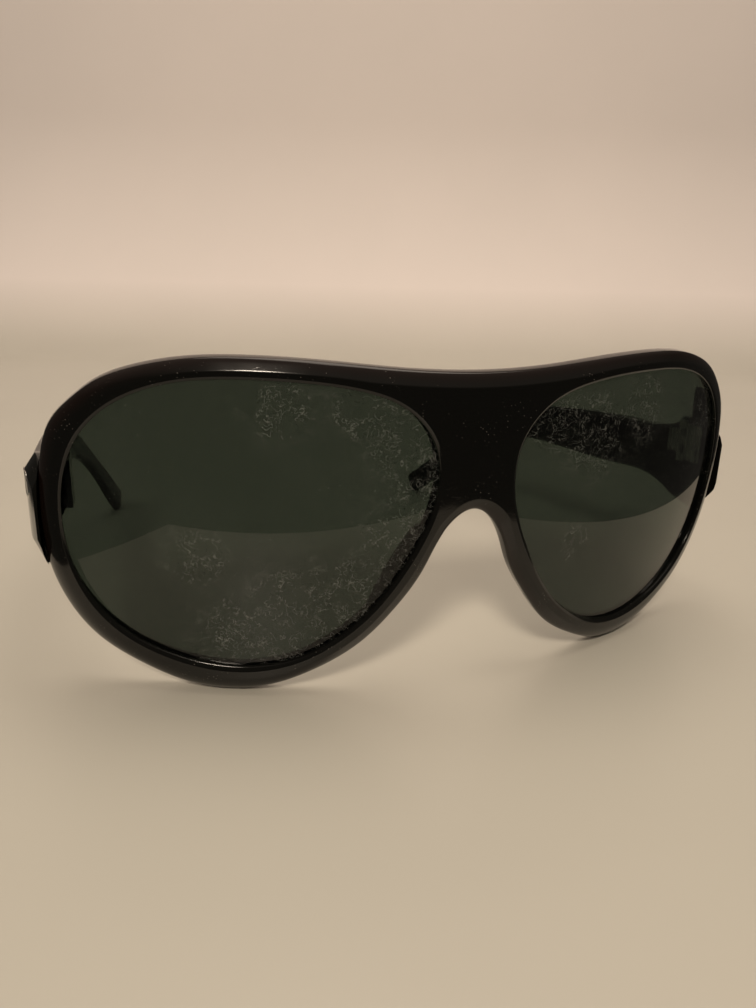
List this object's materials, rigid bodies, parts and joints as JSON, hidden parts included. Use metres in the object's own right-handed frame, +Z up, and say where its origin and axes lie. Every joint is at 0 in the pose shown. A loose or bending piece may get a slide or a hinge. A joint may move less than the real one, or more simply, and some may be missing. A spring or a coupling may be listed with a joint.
{
  "type": "wraparound aviator sunglasses",
  "caption": "Wraparound sunglasses with a one-piece glossy black plastic front, large teardrop dark green lenses, moulded nose pads and folding temples on metal barrel hinges.",
  "frame": {"origin": "under the middle of the open sunglasses' bounding box, on the surface that the rims and temple tips rest on", "axes": "+Z up, +X to the wearer's left along the front, +Y backwards along the temples; the lenses face -Y"},
  "size_m": [0.1526, 0.141, 0.0641],
  "materials": {
    "black_plastic": "polished, with fine handling scratches",
    "tinted_glass": "polished, dark green-grey tint, scratched",
    "hinge_metal": "nickel-silver colour, satin",
    "screw_steel": "turned",
    "wire_steel": "drawn wire",
    "plaque_metal": "polished, plain"
  },
  "bodies": {
    "front": {"front_frame": "black_plastic", "lens_right": "tinted_glass", "lens_left": "tinted_glass", "hinge_front_right": "hinge_metal", "hinge_front_left": "hinge_metal", "hinge_screw_right": "screw_steel", "hinge_screw_left": "screw_steel"},
    "temple_right": {"temple_right": "black_plastic", "hinge_temple_right": "hinge_metal", "core_wire_right": "wire_steel", "temple_plaque_right": "plaque_metal"},
    "temple_left": {"temple_left": "black_plastic", "hinge_temple_left": "hinge_metal", "core_wire_left": "wire_steel", "temple_plaque_left": "plaque_metal"}
  },
  "joints": [
    {"name": "temple_right_fold", "type": "hinge", "parent": "front", "child": "temple_right", "pos_m": [-0.06877, -0.03926, 0.0402], "axis": [0, 0, -1], "range_deg": [0, 83]},
    {"name": "temple_left_fold", "type": "hinge", "parent": "front", "child": "temple_left", "pos_m": [0.06923, -0.03926, 0.0402], "axis": [0, 0, 1], "range_deg": [-11, 79]}
  ]
}
